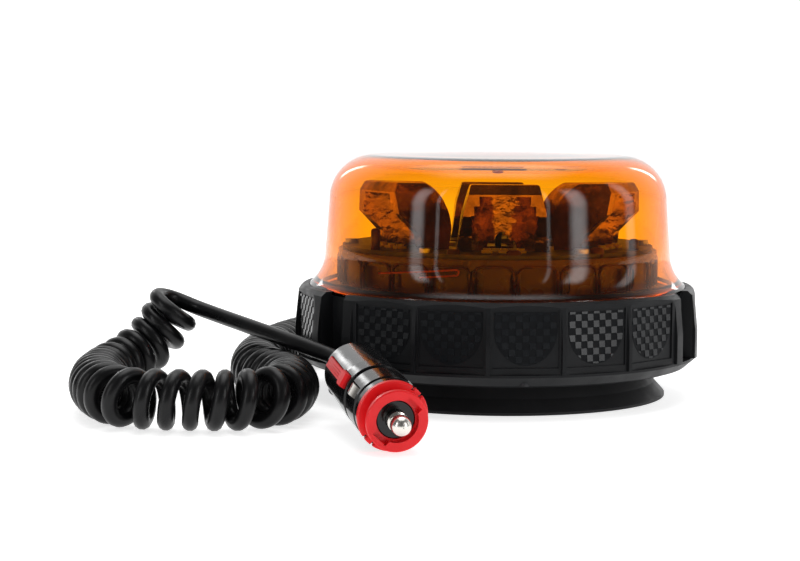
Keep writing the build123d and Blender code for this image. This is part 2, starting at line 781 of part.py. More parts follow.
with BuildPart() as latch_pins:
    for half in (0, 180):
        with BuildSketch(plug_side(half)):
            with Locations(latch_pivot):
                Circle(latch_pin_radius)
        extrude(amount=latch_pin_half, both=True)
write(latch_pins, "latch_pins")

with BuildPart() as plug_strain_relief:
    with BuildSketch(station(barrel_length - 4.4)):
        Circle(4.6)
    extrude(amount=1.2)
    with BuildSketch(station(barrel_length - 3.2)):
        Circle(3.5)
    extrude(amount=3.2)
    with BuildSketch(station(barrel_length)):
        Circle(4.8)
    with BuildSketch(station(barrel_length + 7)):
        Circle(3.5)
    loft()
    with BuildSketch(station(barrel_length + 7)):
        Circle(cord_radius)
    extrude(amount=-8, mode=Mode.SUBTRACT)
write(plug_strain_relief, "plug_strain_relief")

# ---------------------------------------------------------------- curly cord
floor = coil_radius + 0.1     # height of the coil's axis where it lies on the surface
coil_route = [
    (-52, 95, floor), (-66, 72, floor), (-76, 46, floor), (-81, 18, floor), (-82.5, -10, floor),
    (-79, -34, floor), (-67, -53, floor), (-65, -72, floor), (-69, -90, floor), (-82, -97, floor),
    (-100, -96.5, floor), (-115, -94, floor), (-125, -76, floor), (-129.5, -56, floor),
    (-129.5, -38, 9.9), (-124, -25.5, 12.5), (-117.5, -19, 18.5), (-112.6, -17.6, 25),
    (-108.8, -17.4, 32)]
cord_coil, coil_length, coil_radii = tube_along(coil_route, coil_radius)
write(cord_coil, "cord_coil")

lead_route = [
    outward(75, gland_angle, gland_height).origin, (-13.5, 98, 19.5), (-36, 106, 11.5), (-54, 93, floor)]
cord_lead, lead_length, lead_radii = tube_along(lead_route, cord_radius)
write(cord_lead, "cord_lead")

tail_route = [
    (-105.2, -13.2, 32), station(barrel_length + 16).origin, station(barrel_length + 7).origin]
cord_tail, tail_length, tail_radii = tube_along(tail_route, cord_radius)
write(cord_tail, "cord_tail")

for name, length, radii in (("coil", coil_length, coil_radii), ("lead", lead_length, lead_radii),
                            ("tail", tail_length, tail_radii)):
    print(name, "length", round(length, 1), "radii", [round(r, 1) for r in radii])
for name, tube, length, radius in (("coil", cord_coil, coil_length, coil_radius),
                                   ("lead", cord_lead, lead_length, cord_radius),
                                   ("tail", cord_tail, tail_length, cord_radius)):
    section = pi * radius ** 2
    print(name, "volume over section x length", round(tube.part.volume / section / length, 4))
print(len(written), "nodes")
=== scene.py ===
import json
from math import asin, atan2, cos, pi, radians, sin

import bmesh
import bpy
from mathutils import Matrix, Vector, noise


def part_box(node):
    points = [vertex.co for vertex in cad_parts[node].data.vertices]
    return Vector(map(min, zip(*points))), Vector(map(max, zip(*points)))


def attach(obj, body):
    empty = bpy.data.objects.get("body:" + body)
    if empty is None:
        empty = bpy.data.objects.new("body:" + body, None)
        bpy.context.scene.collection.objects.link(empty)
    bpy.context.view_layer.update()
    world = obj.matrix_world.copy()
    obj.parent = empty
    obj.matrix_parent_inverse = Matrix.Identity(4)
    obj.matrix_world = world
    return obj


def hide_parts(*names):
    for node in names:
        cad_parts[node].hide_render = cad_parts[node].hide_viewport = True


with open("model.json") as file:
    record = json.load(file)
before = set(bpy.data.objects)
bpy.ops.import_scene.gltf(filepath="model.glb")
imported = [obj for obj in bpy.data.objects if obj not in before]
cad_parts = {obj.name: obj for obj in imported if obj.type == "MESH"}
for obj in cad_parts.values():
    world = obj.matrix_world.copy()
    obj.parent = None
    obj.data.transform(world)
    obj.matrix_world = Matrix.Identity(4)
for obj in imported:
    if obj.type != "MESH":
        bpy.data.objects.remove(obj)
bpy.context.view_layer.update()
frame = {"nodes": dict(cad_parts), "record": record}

# Metres, +Z up.  The beacon's axis is the Z axis, its front faces -Y.
MM = 0.001
NODES = frame["nodes"]
scene = bpy.context.scene


# ---------------------------------------------------------------- small helpers
def around(radius, angle, height=0.0):
    """A point at an angle in degrees from the front (-Y), positive towards +X."""
    return Vector((radius * sin(radians(angle)), -radius * cos(radians(angle)), height))


def outward(radius, angle, height=0.0):
    """A frame facing away from the axis: x runs round, y runs up, z points outward."""
    x = Vector((cos(radians(angle)), sin(radians(angle)), 0))
    z = around(1, angle)
    place = Matrix((x, (0, 0, 1), z)).transposed().to_4x4()
    place.translation = around(radius, angle, height)
    return place


def add_object(name, mesh, material, body="root", smooth=True):
    """Links a mesh as a piece of the object that rides on a CAD body."""
    obj = bpy.data.objects.new(name, mesh)
    scene.collection.objects.link(obj)
    mesh.materials.append(material)
    if smooth:
        for face in mesh.polygons:
            face.use_smooth = True
    if body:
        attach(obj, body)
    return obj


def mesh_from(name, build):
    """A mesh made by a function that fills a bmesh."""
    bm = bmesh.new()
    build(bm)
    bmesh.ops.recalc_face_normals(bm, faces=bm.faces)
    mesh = bpy.data.meshes.new(name)
    bm.to_mesh(mesh)
    bm.free()
    return mesh


def lathe(bm, profile, segments, closed=True):
    """Turns a profile of (radius, height) about the Z axis. Points on the axis become one vertex."""
    rings = []
    for radius, height in profile:
        if radius < 1e-7:
            rings.append([bm.verts.new((0, 0, height))])
        else:
            rings.append([bm.verts.new(around(radius, 360 * k / segments, height)) for k in range(segments)])
    pairs = list(zip(rings, rings[1:] + rings[:1])) if closed else list(zip(rings, rings[1:]))
    for low, high in pairs:
        for k in range(segments):
            n = (k + 1) % segments
            corners = [low[k % len(low)], low[n % len(low)], high[n % len(high)], high[k % len(high)]]
            unique = [v for i, v in enumerate(corners) if v not in corners[:i]]
            if len(unique) > 2:
                bm.faces.new(unique)


def plate(bm, outline, place, low, high, inset):
    """A closed flat plate with a bevelled top, from a convex outline in a frame's x and y."""
    centre = Vector((sum(p[0] for p in outline), sum(p[1] for p in outline))) / len(outline)
    bottom, top = [], []
    for p in outline:
        pull = (centre - Vector(p))
        pull = pull.normalized() * min(inset, pull.length * 0.5)
        bottom.append(bm.verts.new(place @ Vector((p[0], p[1], low))))
        top.append(bm.verts.new(place @ Vector((p[0] + pull.x, p[1] + pull.y, high))))
    count = len(outline)
    for k in range(count):
        n = (k + 1) % count
        bm.faces.new((bottom[k], bottom[n], top[n], top[k]))
    bm.faces.new(top)
    bm.faces.new(bottom[::-1])


def clip(shape, outline):
    """The part of a convex shape inside a convex outline that runs counter-clockwise."""
    for a, b in zip(outline, outline[1:] + outline[:1]):
        kept = []
        for p, q in zip(shape, shape[1:] + shape[:1]):
            dp = (b[0] - a[0]) * (p[1] - a[1]) - (b[1] - a[1]) * (p[0] - a[0])
            dq = (b[0] - a[0]) * (q[1] - a[1]) - (b[1] - a[1]) * (q[0] - a[0])
            if dp >= 0:
                kept.append(p)
            if dp * dq < 0:
                t = dp / (dp - dq)
                kept.append((p[0] + (q[0] - p[0]) * t, p[1] + (q[1] - p[1]) * t))
        shape = kept
        if not shape:
            return []
    return shape


# ---------------------------------------------------------------- materials
NOISE_LOW, NOISE_HIGH = 0.3, 0.7           # most of a noise texture lies between these


def material(name, colour, roughness, spread=0.08, mottle=0.12, mottle_scale=45.0, grain=0.0,
             grain_scale=3500.0, swirl=0.0, swirl_scale=120.0, dust=0.0, **sockets):
    """A Principled material in object space.

    Its colour and roughness are mottled, and it can have moulded grain, long swirls and light dust.
    """
    mat = bpy.data.materials.new(name)
    mat.use_nodes = True
    nodes, links = mat.node_tree.nodes, mat.node_tree.links
    shader = nodes["Principled BSDF"]
    for socket, value in sockets.items():
        shader.inputs[socket.replace("_", " ")].default_value = value
    place = nodes.new("ShaderNodeTexCoord")
    broad = nodes.new("ShaderNodeTexNoise")
    broad.inputs["Scale"].default_value = mottle_scale
    broad.inputs["Detail"].default_value = 6
    links.new(place.outputs["Object"], broad.inputs["Vector"])
    ramp = nodes.new("ShaderNodeValToRGB")
    ramp.color_ramp.elements[0].position = NOISE_LOW
    ramp.color_ramp.elements[1].position = NOISE_HIGH
    ramp.color_ramp.elements[0].color = (*[c * (1 - mottle) for c in colour], 1)
    ramp.color_ramp.elements[1].color = (*[min(1, c * (1 + mottle)) for c in colour], 1)
    links.new(broad.outputs["Fac"], ramp.inputs["Fac"])
    tone = ramp.outputs["Color"]
    if dust:
        facing = nodes.new("ShaderNodeNewGeometry")
        split = nodes.new("ShaderNodeSeparateXYZ")
        links.new(facing.outputs["Normal"], split.inputs["Vector"])
        specks = nodes.new("ShaderNodeTexNoise")
        specks.inputs["Scale"].default_value = 900
        specks.inputs["Detail"].default_value = 3
        links.new(place.outputs["Object"], specks.inputs["Vector"])
        amount = nodes.new("ShaderNodeMath")
        amount.operation = "MULTIPLY"
        amount.use_clamp = True
        links.new(split.outputs["Z"], amount.inputs[0])
        links.new(specks.outputs["Fac"], amount.inputs[1])
        weak = nodes.new("ShaderNodeMath")
        weak.operation = "MULTIPLY"
        weak.inputs[1].default_value = dust
        links.new(amount.outputs[0], weak.inputs[0])
        mix = nodes.new("ShaderNodeMix")
        mix.data_type = "RGBA"
        mix.inputs["B"].default_value = (0.42, 0.41, 0.4, 1)
        links.new(weak.outputs[0], mix.inputs["Factor"])
        links.new(tone, mix.inputs["A"])
        tone = mix.outputs["Result"]
    links.new(tone, shader.inputs["Base Color"])
    worn = nodes.new("ShaderNodeTexNoise")
    worn.inputs["Scale"].default_value = mottle_scale * 3.1
    worn.inputs["Detail"].default_value = 4
    links.new(place.outputs["Object"], worn.inputs["Vector"])
    spread_node = nodes.new("ShaderNodeMapRange")
    spread_node.inputs["From Min"].default_value = NOISE_LOW
    spread_node.inputs["From Max"].default_value = NOISE_HIGH
    spread_node.inputs["To Min"].default_value = max(0.0, roughness - spread)
    spread_node.inputs["To Max"].default_value = roughness + spread
    links.new(worn.outputs["Fac"], spread_node.inputs["Value"])
    links.new(spread_node.outputs["Result"], shader.inputs["Roughness"])
    normal = None
    for height, scale, detail in ((grain, grain_scale, 2), (swirl, swirl_scale, 3)):
        if height:
            bumps = nodes.new("ShaderNodeTexNoise")
            bumps.inputs["Scale"].default_value = scale
            bumps.inputs["Detail"].default_value = detail
            links.new(place.outputs["Object"], bumps.inputs["Vector"])
            bump = nodes.new("ShaderNodeBump")
            bump.inputs["Distance"].default_value = height
            bump.inputs["Strength"].default_value = 0.6
            links.new(bumps.outputs["Fac"], bump.inputs["Height"])
            if normal is not None:
                links.new(normal, bump.inputs["Normal"])
            normal = bump.outputs["Normal"]
    if normal is not None:
        links.new(normal, shader.inputs["Normal"])
    return mat


def lines(mat, axis, scale, distance):
    """Adds fine parallel machining or moulding lines across an axis (0, 1 or 2) to a material's bump."""
    nodes, links = mat.node_tree.nodes, mat.node_tree.links
    shader = nodes["Principled BSDF"]
    place = nodes.new("ShaderNodeTexCoord")
    wave = nodes.new("ShaderNodeTexWave")
    wave.bands_direction = "XYZ"[axis]
    wave.inputs["Scale"].default_value = scale
    wave.inputs["Distortion"].default_value = 0.6
    links.new(place.outputs["Object"], wave.inputs["Vector"])
    bump = nodes.new("ShaderNodeBump")
    bump.inputs["Distance"].default_value = distance
    links.new(wave.outputs["Fac"], bump.inputs["Height"])
    if shader.inputs["Normal"].links:
        links.new(shader.inputs["Normal"].links[0].from_socket, bump.inputs["Normal"])
    links.new(bump.outputs["Normal"], shader.inputs["Normal"])
    return mat


black_moulding = material("black_moulding", (0.0075, 0.008, 0.009), 0.4, grain=0.00004, grain_scale=5200,
                          swirl=0.00006, swirl_scale=260, dust=0.01, Specular_IOR_Level=0.13)
panel_field = material("panel_field", (0.006, 0.0065, 0.0075), 0.55, grain=0.00005, grain_scale=6500,
                       Specular_IOR_Level=0.07)
checker_gloss = material("checker_gloss", (0.007, 0.008, 0.0095), 0.2, spread=0.04, swirl=0.00003,
                         swirl_scale=500, Specular_IOR_Level=0.28)
foot_rubber = material("foot_rubber", (0.011, 0.011, 0.012), 0.5, mottle=0.2, grain=0.00003, grain_scale=3000,
                       dust=0.02, Specular_IOR_Level=0.18)
cord_jacket = material("cord_jacket", (0.0045, 0.0045, 0.005), 0.33, spread=0.07, swirl=0.00004,
                       swirl_scale=420, Specular_IOR_Level=0.24)
plug_black = material("plug_black", (0.0045, 0.0045, 0.005), 0.14, spread=0.05, swirl=0.00003,
                      swirl_scale=300, Specular_IOR_Level=0.36)
plug_red = material("plug_red", (0.74, 0.010, 0.014), 0.34, mottle=0.06, grain=0.00002, grain_scale=2600,
                    swirl=0.00003, swirl_scale=300, Subsurface_Weight=0.06, Specular_IOR_Level=0.3)
plug_red_shader = plug_red.node_tree.nodes["Principled BSDF"]
plug_red_shader.inputs["Subsurface Radius"].default_value = (0.002, 0.0004, 0.0003)
nickel = material("nickel", (0.72, 0.69, 0.64), 0.2, spread=0.08, mottle=0.06, swirl=0.00002, swirl_scale=700,
                  Metallic=1.0)
steel = lines(material("zinc_steel", (0.6, 0.6, 0.62), 0.34, mottle=0.12, Metallic=1.0), 0, 900, 0.00001)
black_oxide = material("black_oxide", (0.012, 0.012, 0.014), 0.5, mottle=0.2, grain=0.00002, Metallic=0.4)
ferrite = material("ferrite", (0.035, 0.034, 0.036), 0.6, mottle=0.3, grain=0.00006, grain_scale=1800)
carrier = material("carrier", (0.12, 0.03, 0.016), 0.3, mottle=0.25, grain=0.00005, grain_scale=2500)
film = material("reflector_film", (0.38, 0.2, 0.13), 0.16, spread=0.09, mottle=0.45, mottle_scale=130,
                swirl=0.0009, swirl_scale=150, Metallic=1.0)
board_white = material("board_white", (0.12, 0.1, 0.08), 0.5, mottle=0.06, grain=0.00002, grain_scale=900)
board_green = material("board_green", (0.02, 0.14, 0.06), 0.35, mottle=0.3, mottle_scale=240, swirl=0.00005,
                       swirl_scale=700)
phosphor = material("phosphor", (0.95, 0.72, 0.12), 0.35, mottle=0.1, mottle_scale=400, Subsurface_Weight=0.2)
epoxy = material("epoxy", (0.02, 0.02, 0.022), 0.5, mottle=0.2, grain=0.00003)
copper = lines(material("copper_winding", (0.5, 0.2, 0.08), 0.35, Metallic=0.9), 2, 900, 0.0001)
can = lines(material("aluminium_can", (0.66, 0.67, 0.7), 0.3, Metallic=1.0), 2, 300, 0.00002)
terminal = material("terminal_green", (0.02, 0.24, 0.09), 0.35, mottle=0.08)
red_wire = material("red_wire", (0.55, 0.02, 0.02), 0.35, mottle=0.1)


def clear(name, tint, roughness, ior, colour, density, swirl=0.00002):
    """A clear moulding: a smooth refracting surface, and a body colour that deepens with thickness."""
    mat = material(name, tint, roughness, spread=roughness * 0.6, mottle=0.02, swirl=swirl, swirl_scale=45,
                   Transmission_Weight=1.0, IOR=ior)
    nodes, links = mat.node_tree.nodes, mat.node_tree.links
    body = nodes.new("ShaderNodeVolumeAbsorption")
    body.inputs["Color"].default_value = (*colour, 1)
    body.inputs["Density"].default_value = density
    links.new(body.outputs["Volume"], nodes["Material Output"].inputs["Volume"])
    return mat


amber = clear("amber_polycarbonate", (1.0, 0.95, 0.6), 0.012, 1.38, (0.999, 0.85, 0.04), 1400)
tube_glass = clear("tube_glass", (0.95, 0.97, 0.97), 0.01, 1.45, (0.9, 0.97, 0.95), 20)

FINISHES = {
    black_moulding: ["base_housing", "grip_ring"],
    foot_rubber: ["foot_boot", "dome_seal", "cable_gland", "plug_strain_relief"],
    black_oxide: ["ring_screws"],
    steel: ["magnet_cup", "magnet_bolt", "magnet_nut", "deck_screws", "led_board_screws",
            "driver_board_screws", "pin_spring", "latch_pins"],
    ferrite: ["ferrite_magnet"],
    amber: ["dome"],
    carrier: ["deck_drum"],
    film: [f"reflector_{k}" for k in range(1, 7)],
    board_white: ["led_board"],
    board_green: ["driver_board"],
    phosphor: ["led_packages"],
    epoxy: ["driver_transistors", "driver_controller"],
    copper: ["driver_inductor"],
    can: ["driver_capacitors"],
    terminal: ["supply_terminal"],
    red_wire: ["supply_leads"],
    cord_jacket: ["led_lead", "cord_coil", "cord_lead", "cord_tail"],
    plug_red: ["plug_adapter", "latch_upper", "latch_lower"],
    plug_black: ["plug_nose_sleeve", "plug_barrel_front", "plug_barrel_rear"],
    nickel: ["centre_pin", "fuse_caps", "earth_contact_upper", "earth_contact_lower"],
    tube_glass: ["fuse_glass"],
}
for finish, names in FINISHES.items():
    for name in names:
        node = NODES[name]
        if not node.material_slots:
            node.data.materials.append(finish)
        for holder in node.material_slots:
            holder.material = finish


def soften(name, width, segments=2, angle=32):
    """Rounds a CAD node's sharp edges with a bevel modifier."""
    bevel = NODES[name].modifiers.new("edges", "BEVEL")
    bevel.width = width
    bevel.segments = segments
    bevel.limit_method = "ANGLE"
    bevel.angle_limit = radians(angle)
    bevel.harden_normals = True


for name, width in (("grip_ring", 0.0004), ("base_housing", 0.0003), ("foot_boot", 0.0004),
                    ("plug_adapter", 0.00025), ("plug_barrel_front", 0.00022), ("plug_barrel_rear", 0.00022),
                    ("latch_upper", 0.0003), ("latch_lower", 0.0003), ("deck_drum", 0.0003),
                    ("earth_contact_upper", 0.00015), ("earth_contact_lower", 0.00015)):
    soften(name, width)

# ---------------------------------------------------------------- dome
SEAT = 36.2
SKIRT = (74.2, 49.0)
SKIRT_RADIUS = 14.5
SHOULDER, CORNER, CORNER_HEIGHT = 42.8, 15.5, 66.7
CROWN = 83.0
WALL = 2.2
DISC_RADIUS, DISC_DEPTH, DISC_EDGE = 27, 0.7, 1.6     # the thicker disc inside the crown
RIB_RISE = 2.5                                        # of the rib's legs, from left to right
RIB_GAP = 1.9                                         # between its two legs
RIB_LEFT, RIB_RIGHT = -41, -13                        # its ends, in degrees
RIB_HEIGHT = 44.3                                     # of its left end


def skirt_arc(radius, start, end, steps):
    """Points of the hollow skirt curve between two heights."""
    a = asin((SKIRT[1] - start) / radius)
    b = asin((SKIRT[1] - end) / radius)
    angles = [a + (b - a) * k / steps for k in range(steps + 1)]
    return [(SKIRT[0] - radius * cos(t), SKIRT[1] - radius * sin(t)) for t in angles]


def dome_face(offset, skirt_start):
    """The dome's profile from the skirt to the crown, moved inward by an offset."""
    points = skirt_arc(SKIRT_RADIUS + offset, skirt_start, SKIRT[1], 16)
    wall_low = points[-1]
    wall_high = (SHOULDER + CORNER - offset, CORNER_HEIGHT)
    for k in range(1, 6):
        points.append((wall_low[0] + (wall_high[0] - wall_low[0]) * k / 6,
                       wall_low[1] + (wall_high[1] - wall_low[1]) * k / 6))
    corner = CORNER - offset
    points += [(SHOULDER + corner * cos(radians(t)), CORNER_HEIGHT + corner * sin(radians(t)))
               for t in range(0, 91, 5)]
    rise = CROWN - CORNER_HEIGHT - CORNER
    for k in range(1, 13):
        r = SHOULDER * (1 - k / 12)
        points.append((r, CORNER_HEIGHT + CORNER - offset + rise * (1 - (r / SHOULDER) ** 2) ** 1.5))
    return points


def dome_profile():
    """The dome's closed wall section, outside and inside, in metres."""
    outer = [(65.0, SEAT), (65.0, 37.4), (64.9, 37.65)] + dome_face(0, 38.2)
    inner = []
    for r, z in dome_face(WALL, 38.4):
        # a disc in the middle of the crown is thicker
        if z > 79 and r < DISC_RADIUS:
            z -= DISC_DEPTH * min(1, (DISC_RADIUS - r) / DISC_EDGE)
        inner.append((r, z))
    return [(r * MM, z * MM) for r, z in outer + inner[::-1] + [(61.2, SEAT)]]


dome = add_object("dome_shell", mesh_from("dome_shell", lambda bm: lathe(bm, dome_profile(), 192)), amber)
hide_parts("dome")


def tube(bm, points, radius, sides=8):
    """A round bar through points, with flat ends."""
    rings = []
    for k, p in enumerate(points):
        ahead = (points[min(len(points) - 1, k + 1)] - points[max(0, k - 1)]).normalized()
        a = ahead.cross(Vector((0, 0, 1)) if abs(ahead.z) < 0.9 else Vector((1, 0, 0))).normalized()
        b = ahead.cross(a)
        rings.append([bm.verts.new(p + (a * cos(2 * pi * i / sides) + b * sin(2 * pi * i / sides)) * radius)
                      for i in range(sides)])
    for low, high in zip(rings, rings[1:]):
        for i in range(sides):
            bm.faces.new((low[i], low[(i + 1) % sides], high[(i + 1) % sides], high[i]))
    bm.faces.new(rings[0][::-1])
    bm.faces.new(rings[-1])


def skirt_radius(height, inset):
    """Radius of the skirt at a height, in millimetres, moved inward."""
    return SKIRT[0] - SKIRT_RADIUS * cos(asin((SKIRT[1] - height) / SKIRT_RADIUS)) - inset


def build_rib(bm):
    """A fine hairpin rib inside the skirt: a long upper leg, a short lower leg, closed at the right."""
    path = [(a, 0.0) for a in range(RIB_LEFT, RIB_RIGHT)]
    path += [(RIB_RIGHT + 0.9 * cos(radians(t)), RIB_GAP / 2 * (sin(radians(t)) - 1))
             for t in range(75, -91, -15)]
    path += [(a, -RIB_GAP) for a in range(RIB_RIGHT - 1, RIB_RIGHT - 13, -1)]
    places = []
    for angle, drop in path:
        height = RIB_HEIGHT + RIB_RISE * (angle - RIB_LEFT) / (RIB_RIGHT - RIB_LEFT) + drop
        places.append(around(skirt_radius(height, WALL + 0.1) * MM, angle, height * MM))
    tube(bm, places, 0.32 * MM)


# the rib and the crown nub are clear amber moulding like the dome; their opaque bright orange with subsurface
# is a painted glow, the light caught along the clear rib and nub
painted_glow_orange = material("orange_glow_painted", (0.9, 0.13, 0.02), 0.3, mottle=0.05, swirl=0.00002, Subsurface_Weight=0.3)
add_object("skirt_rib", mesh_from("skirt_rib", build_rib), painted_glow_orange)


def build_nub(bm):
    """The moulding's gate, a small boss under the crown."""
    section = ((0, 80.6), (1.9, 80.6), (1.9, 79.6), (1.3, 79.0), (0, 78.8))
    lathe(bm, [(r * MM, z * MM) for r, z in section], 24, closed=False)


# the gate nub takes the same painted orange glow as the rib
add_object("crown_nub", mesh_from("crown_nub", build_nub), painted_glow_orange)

# ---------------------------------------------------------------- reflector carrier relief
DRUM_RADIUS = (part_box("deck_drum")[1].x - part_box("deck_drum")[0].x) / 2
WINDOW_COUNT = 24
WINDOW_START = -1                # degrees from the front to the middle of the first window
WINDOW_HALF, WINDOW_TALL = 6.5 * MM, 5.0 * MM
WINDOW_CORNER = 3 * MM
WINDOW_BAR = 0.55 * MM


def build_pockets(bm):
    """Rounded window frames round the drum, each an arch standing on two legs."""
    steps = 7
    for k in range(WINDOW_COUNT):
        angle = 360 / WINDOW_COUNT * k + WINDOW_START
        place = outward(DRUM_RADIUS - 0.1 * MM, angle, 42.8 * MM)
        outline = [Vector((-WINDOW_HALF, -WINDOW_TALL, 0)),
                   Vector((-WINDOW_HALF, WINDOW_TALL - WINDOW_CORNER, 0))]
        for i in range(1, steps + 1):
            turn = radians(90 * i / steps)
            outline.append(Vector((-WINDOW_HALF + WINDOW_CORNER - WINDOW_CORNER * cos(turn),
                                   WINDOW_TALL - WINDOW_CORNER + WINDOW_CORNER * sin(turn), 0)))
        outline += [Vector((-p.x, p.y, 0)) for p in outline[::-1]]
        points = []
        for p in outline:
            turn = p.x / DRUM_RADIUS
            points.append(place @ Vector((DRUM_RADIUS * sin(turn), p.y, DRUM_RADIUS * (cos(turn) - 1))))
        tube(bm, points, WINDOW_BAR)


add_object("drum_windows", mesh_from("drum_windows", build_pockets), carrier)


POSTS = ((-50, 52.0, 58.5, 1.5), (-16, 50.5, 53.2, 2.2), (6, 50.8, 53.0, 2.4),
         (39, 51.5, 53.4, 2.2), (64, 50.5, 55.0, 1.6))     # angle, distance, top and half width
POST_SIDES = 20


def build_posts(bm):
    """Small posts and mounds that stand on the deck."""
    for angle, radius, top, wide in POSTS:
        place = around(radius * MM, angle)
        rings = []
        for r, z in ((wide, 50.2), (wide, top - 0.8), (wide * 0.75, top - 0.2), (wide * 0.4, top)):
            ring = []
            for i in range(POST_SIDES):
                turn = 2 * pi * i / POST_SIDES
                ring.append(bm.verts.new(place + Vector((r * MM * cos(turn), r * MM * sin(turn), z * MM))))
            rings.append(ring)
        for low, high in zip(rings, rings[1:]):
            for i in range(POST_SIDES):
                n = (i + 1) % POST_SIDES
                bm.faces.new((low[i], low[n], high[n], high[i]))
        bm.faces.new(rings[-1])
        bm.faces.new(rings[0][::-1])


add_object("deck_posts", mesh_from("deck_posts", build_posts), carrier)

# ---------------------------------------------------------------- grip ring relief
GROUP_ANGLE, PANEL_PITCH = 8.0, 20.2
PANEL_ANGLES = [GROUP_ANGLE + 120 * k + PANEL_PITCH * (i - 2) for k in range(3) for i in range(5)]
FIELD_RADIUS = (69.0 * cos(radians(PANEL_PITCH / 2)) - 0.5) * MM
SHIELD_CENTRE = 28.9 * MM
SHIELD_HALF = 10.3 * MM
SHIELD_TOP = 34.6 * MM
CELL = 2.2 * MM

shield = [(SHIELD_HALF * cos(radians(t)), SHIELD_HALF * 1.12 * sin(radians(t))) for t in range(180, 361, 10)]
shield += [(SHIELD_HALF, SHIELD_TOP - SHIELD_CENTRE), (-SHIELD_HALF, SHIELD_TOP - SHIELD_CENTRE)]


def build_shields(bm):
    """A flat shield in each panel of the ring."""
    for angle in PANEL_ANGLES:
        plate(bm, shield, outward(FIELD_RADIUS, angle, SHIELD_CENTRE), -0.3 * MM, 0.1 * MM, 0.12 * MM)


def build_pads(bm):
    """The raised squares of the checker pattern, clipped to the shield."""
    for angle in PANEL_ANGLES:
        place = outward(FIELD_RADIUS, angle, SHIELD_CENTRE)
        for i in range(-5, 6):
            for j in range(-7, 4):
                if (i + j) % 2:
                    continue
                x, y = (i - 0.5) * CELL, j * CELL + 0.4 * MM
                cell = [(x, y), (x + CELL, y), (x + CELL, y + CELL), (x, y + CELL)]
                cell = clip(cell, [(p[0] * 0.985, p[1] * 0.985) for p in shield])
                area = sum(p[0] * q[1] - q[0] * p[1] for p, q in zip(cell, cell[1:] + cell[:1])) / 2
                if area > 0.15 * CELL * CELL:
                    # each pad leans back a little, as a moulded draft
                    middle = Vector((x + CELL / 2, y + CELL / 2, 0))
                    lean = place @ Matrix.Translation(middle) @ Matrix.Rotation(radians(-6), 4, "X")
                    local = [(p[0] - middle.x, p[1] - middle.y) for p in cell]
                    plate(bm, local, lean, -0.1 * MM, 0.24 * MM, 0.1 * MM)


add_object("panel_shields", mesh_from("panel_shields", build_shields), panel_field,
           smooth=False)
add_object("checker_pads", mesh_from("checker_pads", build_pads), checker_gloss,
           smooth=False)


# ---------------------------------------------------------------- cord
def spline_curve(name, points, resolution):
    """A smooth NURBS curve object through control points."""
    data = bpy.data.curves.new(name, "CURVE")
    data.dimensions = "3D"
    data.resolution_u = resolution
    spline = data.splines.new("NURBS")
    spline.points.add(len(points) - 1)
    for point, place in zip(spline.points, points):
        point.co = (*place, 1)
    spline.order_u = 3
    spline.use_endpoint_u = True
    obj = bpy.data.objects.new(name, data)
    scene.collection.objects.link(obj)
    return obj


def curve_points(name, points):
    """Points read from a route's own NURBS spline."""
    obj = spline_curve(name, points, 16)
    graph = bpy.context.evaluated_depsgraph_get()
    mesh = bpy.data.meshes.new_from_object(obj.evaluated_get(graph))
    places = [v.co.copy() for v in mesh.vertices]
    bpy.data.objects.remove(obj)
    bpy.data.meshes.remove(mesh)
    return places


CORD_RADIUS = 2.6 * MM
TURN_RADIUS = 6.95 * MM        # from the coil's axis to the middle of the cord
TIGHT_PITCH = 5.3 * MM
PER_TURN = 14                  # control points in one turn
OVERSHOOT = 1.025              # control points lie a little outside the spline they pull
AXIS_STEP = 0.5 * MM           # between the places where the pitch is worked out
BEND_REACH = 8 * MM            # how far each way a bend is measured
FRONT_Y = -85 * MM             # the run in front lies nearer the camera than this
FRONT_X, FRONT_HALF = -97 * MM, 24 * MM        # its middle and half its length
FRONT_STRETCH = 2.1 * MM       # added to the pitch at its middle
START_RUN, START_OPEN = 14 * MM, 3.2           # where the coil opens towards the lead, and by how much
FLOOR = 9.7                    # height of the coil's axis where it lies on the floor, in millimetres
coil_route = [
    (-52, 95, FLOOR), (-66, 72, FLOOR), (-76, 46, FLOOR), (-81, 18, FLOOR), (-82.5, -10, FLOOR),
    (-79, -34, FLOOR), (-67, -53, FLOOR), (-65, -72, FLOOR), (-69, -90, FLOOR), (-82, -97, FLOOR),
    (-100, -96.5, FLOOR), (-115, -94, FLOOR), (-125, -76, FLOOR), (-129.5, -56, FLOOR),
    (-129.5, -38, 9.9), (-124, -25.5, 12.5), (-117.5, -19, 18.5), (-112.6, -17.6, 25),
    (-108.8, -17.4, 32)]
coil_line = curve_points("coil_axis", [Vector(p) * MM for p in coil_route])

twist = next(j for j in frame["record"]["behaviour"]["joints"] if j["name"] == "adapter_twist")
PLUG_NOSE = Vector(twist["pos_m"])
PLUG_BACK = Vector(twist["axis"]).normalized()


def resample(points, step):
    """Evenly spaced points along a polyline."""
    marks, total = [0.0], 0.0
    for a, b in zip(points, points[1:]):
        total += (b - a).length
        marks.append(total)
    count = int(total / step)
    places, k = [], 0
    for i in range(count + 1):
        mark = total * i / count
        while k < len(points) - 2 and marks[k + 1] < mark:
            k += 1
        share = (mark - marks[k]) / max(1e-12, marks[k + 1] - marks[k])
        places.append(points[k].lerp(points[k + 1], min(1, share)))
    return places, total / count


